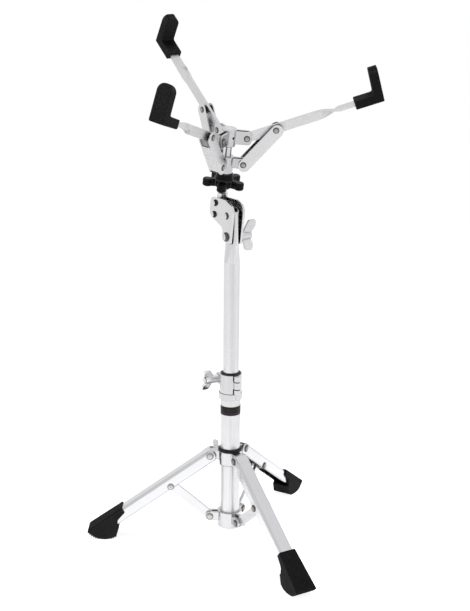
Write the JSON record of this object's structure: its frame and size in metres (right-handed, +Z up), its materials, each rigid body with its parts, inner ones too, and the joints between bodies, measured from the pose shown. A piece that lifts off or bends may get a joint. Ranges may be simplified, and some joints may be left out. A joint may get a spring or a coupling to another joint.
{
  "type": "snare drum stand",
  "caption": "Folding tripod stand with a telescoping tube, a tilting head and a basket of rubber-tipped arms that grips a snare drum.",
  "frame": {"origin": "on the floor, under the axis of the stand's tube", "axes": "+Z up along the tube, +X to the right in the front view with the left leg along -X, +Y to the back"},
  "size_m": [0.4101, 0.3762, 0.747],
  "materials": {
    "tube_chrome": "bright chrome plate",
    "leg_chrome": "bright chrome plate",
    "cast_chrome": "chrome plate over a casting",
    "arm_chrome": "bright chrome plate",
    "hardware_chrome": "polished chrome",
    "rivet_steel": "dull zinc plate",
    "black_nylon": "satin black",
    "black_rubber": "matt black",
    "dark_band": "satin dark brown"
  },
  "bodies": {
    "base": {"lower_tube": "tube_chrome", "badge_band": "dark_band", "lower_hub": "cast_chrome", "hub_rivets": "rivet_steel", "clamp_body": "cast_chrome", "clamp_hinge_pin": "hardware_chrome", "clamp_bolt": "hardware_chrome", "clamp_bush": "black_nylon"},
    "collar": {"leg_collar": "cast_chrome", "collar_bush": "black_nylon", "collar_rivets": "rivet_steel"},
    "collar_wing_bolt": {"collar_wing_bolt": "hardware_chrome"},
    "clamp_jaw": {"clamp_jaw": "cast_chrome"},
    "clamp_wing_nut": {"clamp_wing_nut": "hardware_chrome"},
    "tube_guide": {"tube_guide": "black_nylon"},
    "upper_tube": {"upper_tube": "tube_chrome"},
    "tilter": {"tilter_cheek_left": "arm_chrome", "tilter_cheek_right": "arm_chrome", "tilter_bolt": "hardware_chrome", "tilter_washers": "black_nylon", "tilter_rivets": "rivet_steel", "tilter_stop_pin": "rivet_steel", "basket_stem": "hardware_chrome", "upper_basket_hub": "cast_chrome", "hub_set_screw": "rivet_steel", "arm_rivets": "rivet_steel"},
    "tilter_wing_nut": {"tilter_wing_nut": "hardware_chrome"},
    "lower_basket_hub": {"lower_basket_hub": "cast_chrome"},
    "basket_nut": {"basket_nut": "black_nylon"},
    "brace_left": {"brace_left": "leg_chrome"},
    "leg_left": {"leg_left": "leg_chrome", "foot_left": "black_rubber", "leg_rivet_left": "rivet_steel"},
    "brace_front": {"brace_front": "leg_chrome"},
    "leg_front": {"leg_front": "leg_chrome", "foot_front": "black_rubber", "leg_rivet_front": "rivet_steel"},
    "brace_rear": {"brace_rear": "leg_chrome"},
    "leg_rear": {"leg_rear": "leg_chrome", "foot_rear": "black_rubber", "leg_rivet_rear": "rivet_steel"},
    "arm_right": {"arm_right": "arm_chrome", "grip_right": "black_rubber"},
    "link_right": {"link_right": "arm_chrome", "link_rivets_right": "rivet_steel", "link_spacers_right": "black_nylon"},
    "arm_back": {"arm_back": "arm_chrome", "grip_back": "black_rubber"},
    "link_back": {"link_back": "arm_chrome", "link_rivets_back": "rivet_steel", "link_spacers_back": "black_nylon"},
    "arm_front": {"arm_front": "arm_chrome", "grip_front": "black_rubber"},
    "link_front": {"link_front": "arm_chrome", "link_rivets_front": "rivet_steel", "link_spacers_front": "black_nylon"}
  },
  "joints": [
    {"name": "tripod_fold", "type": "hinge", "parent": "base", "child": "brace_left", "pos_m": [-0.029, 0, 0.0347], "axis": [0, 1, 0], "range_deg": [0, 48]},
    {"name": "left_leg_pivot", "type": "hinge", "parent": "brace_left", "child": "leg_left", "pos_m": [-0.086, 0, 0.0833], "axis": [0, -1, 0], "range_deg": [0, 96]},
    {"name": "collar_pivot", "type": "hinge", "parent": "leg_left", "child": "collar", "pos_m": [-0.029, 0, 0.1319], "axis": [0, 1, 0], "range_deg": [0, 48]},
    {"name": "front_leg_pivot", "type": "hinge", "parent": "collar", "child": "leg_front", "pos_m": [0.0145, -0.02511, 0.1319], "axis": [0.866, 0.5, 0], "range_deg": [0, 48]},
    {"name": "front_brace_pivot", "type": "hinge", "parent": "base", "child": "brace_front", "pos_m": [0.0145, -0.02511, 0.0347], "axis": [-0.866, -0.5, 0], "range_deg": [0, 48]},
    {"name": "rear_leg_pivot", "type": "hinge", "parent": "collar", "child": "leg_rear", "pos_m": [0.0145, 0.02511, 0.1319], "axis": [-0.866, 0.5, 0], "range_deg": [0, 48]},
    {"name": "rear_brace_pivot", "type": "hinge", "parent": "base", "child": "brace_rear", "pos_m": [0.0145, 0.02511, 0.0347], "axis": [0.866, -0.5, 0], "range_deg": [0, 48]},
    {"name": "collar_bolt_turn", "type": "hinge", "parent": "collar", "child": "collar_wing_bolt", "pos_m": [-0.01556, 0.01556, 0.1308], "axis": [-0.7071, 0.7071, 0], "range_deg": [0, 360]},
    {"name": "clamp_jaw_hinge", "type": "hinge", "parent": "base", "child": "clamp_jaw", "pos_m": [0.009, -0.01559, 0.2423], "axis": [0, 0, 1], "range_deg": [0, 1]},
    {"name": "clamp_nut_turn", "type": "hinge", "parent": "clamp_jaw", "child": "clamp_wing_nut", "pos_m": [-0.01806, 0.01728, 0.2423], "axis": [-0.866, -0.5, 0], "range_deg": [0, 211.6]},
    {"name": "height_slide", "type": "slide", "parent": "base", "child": "tube_guide", "axis": [0, 0, 1], "range_m": [-0.115, 0.045]},
    {"name": "tube_swivel", "type": "hinge", "parent": "tube_guide", "child": "upper_tube", "pos_m": [0, 0, 0.1453], "axis": [0, 0, 1], "continuous": true},
    {"name": "tilter_pivot", "type": "hinge", "parent": "upper_tube", "child": "tilter", "pos_m": [0, 0, 0.4553], "axis": [0.9048, 0.4258, 0], "range_deg": [-19.95, 16.05]},
    {"name": "tilter_nut_turn", "type": "hinge", "parent": "tilter", "child": "tilter_wing_nut", "pos_m": [0, 0, 0.4553], "axis": [0.9048, 0.4258, 0], "range_deg": [0, 360]},
    {"name": "basket_slide", "type": "slide", "parent": "tilter", "child": "lower_basket_hub", "axis": [0.0976, -0.2074, 0.9734], "range_m": [-0.00519, 0.00605]},
    {"name": "basket_nut_turn", "type": "hinge", "parent": "lower_basket_hub", "child": "basket_nut", "pos_m": [-0.00917, 0.01949, 0.55581], "axis": [0.0976, -0.2074, 0.9734], "range_deg": [-1068, 1245]},
    {"name": "arm_right_pivot", "type": "hinge", "parent": "tilter", "child": "arm_right", "pos_m": [0.01871, 0.01315, 0.58968], "axis": [0.0349, -0.9767, -0.2116], "range_deg": [-12.1, 14.1]},
    {"name": "link_right_pivot", "type": "hinge", "parent": "arm_right", "child": "link_right", "pos_m": [0.05778, 0.01173, 0.60267], "axis": [0.0349, -0.9767, -0.2116], "range_deg": [-9.6, 8.2]},
    {"name": "arm_back_pivot", "type": "hinge", "parent": "tilter", "child": "arm_back", "pos_m": [-0.01843, 0.03179, 0.59737], "axis": [0.8439, 0.5357, 0.0295], "range_deg": [-12.1, 14.1]},
    {"name": "link_back_pivot", "type": "hinge", "parent": "arm_back", "child": "link_back", "pos_m": [-0.03665, 0.05912, 0.62224], "axis": [0.8439, 0.5357, 0.0295], "range_deg": [-9.6, 8.2]},
    {"name": "arm_front_pivot", "type": "hinge", "parent": "tilter", "child": "arm_front", "pos_m": [-0.01696, -0.00949, 0.58843], "axis": [-0.8788, 0.4411, 0.1821], "range_deg": [-12.1, 14.1]},
    {"name": "link_front_pivot", "type": "hinge", "parent": "arm_front", "child": "link_front", "pos_m": [-0.0329, -0.04583, 0.5995], "axis": [-0.8788, 0.4411, 0.1821], "range_deg": [-9.6, 8.2]}
  ],
  "couplings": [
    {"joint": "left_leg_pivot", "follows": "tripod_fold", "ratio": 2},
    {"joint": "collar_pivot", "follows": "tripod_fold", "ratio": 1},
    {"joint": "front_leg_pivot", "follows": "tripod_fold", "ratio": 1},
    {"joint": "front_brace_pivot", "follows": "tripod_fold", "ratio": 1},
    {"joint": "rear_leg_pivot", "follows": "tripod_fold", "ratio": 1},
    {"joint": "rear_brace_pivot", "follows": "tripod_fold", "ratio": 1},
    {"joint": "clamp_nut_turn", "follows": "clamp_jaw_hinge", "ratio": 211.12},
    {"joint": "basket_nut_turn", "follows": "basket_slide", "rad_per_m": 3590.4},
    {"joint": "arm_right_pivot", "follows": "basket_slide", "rad_per_m": 40.383},
    {"joint": "link_right_pivot", "follows": "basket_slide", "rad_per_m": -27.432},
    {"joint": "arm_back_pivot", "follows": "basket_slide", "rad_per_m": 40.383},
    {"joint": "link_back_pivot", "follows": "basket_slide", "rad_per_m": -27.432},
    {"joint": "arm_front_pivot", "follows": "basket_slide", "rad_per_m": 40.383},
    {"joint": "link_front_pivot", "follows": "basket_slide", "rad_per_m": -27.432}
  ]
}
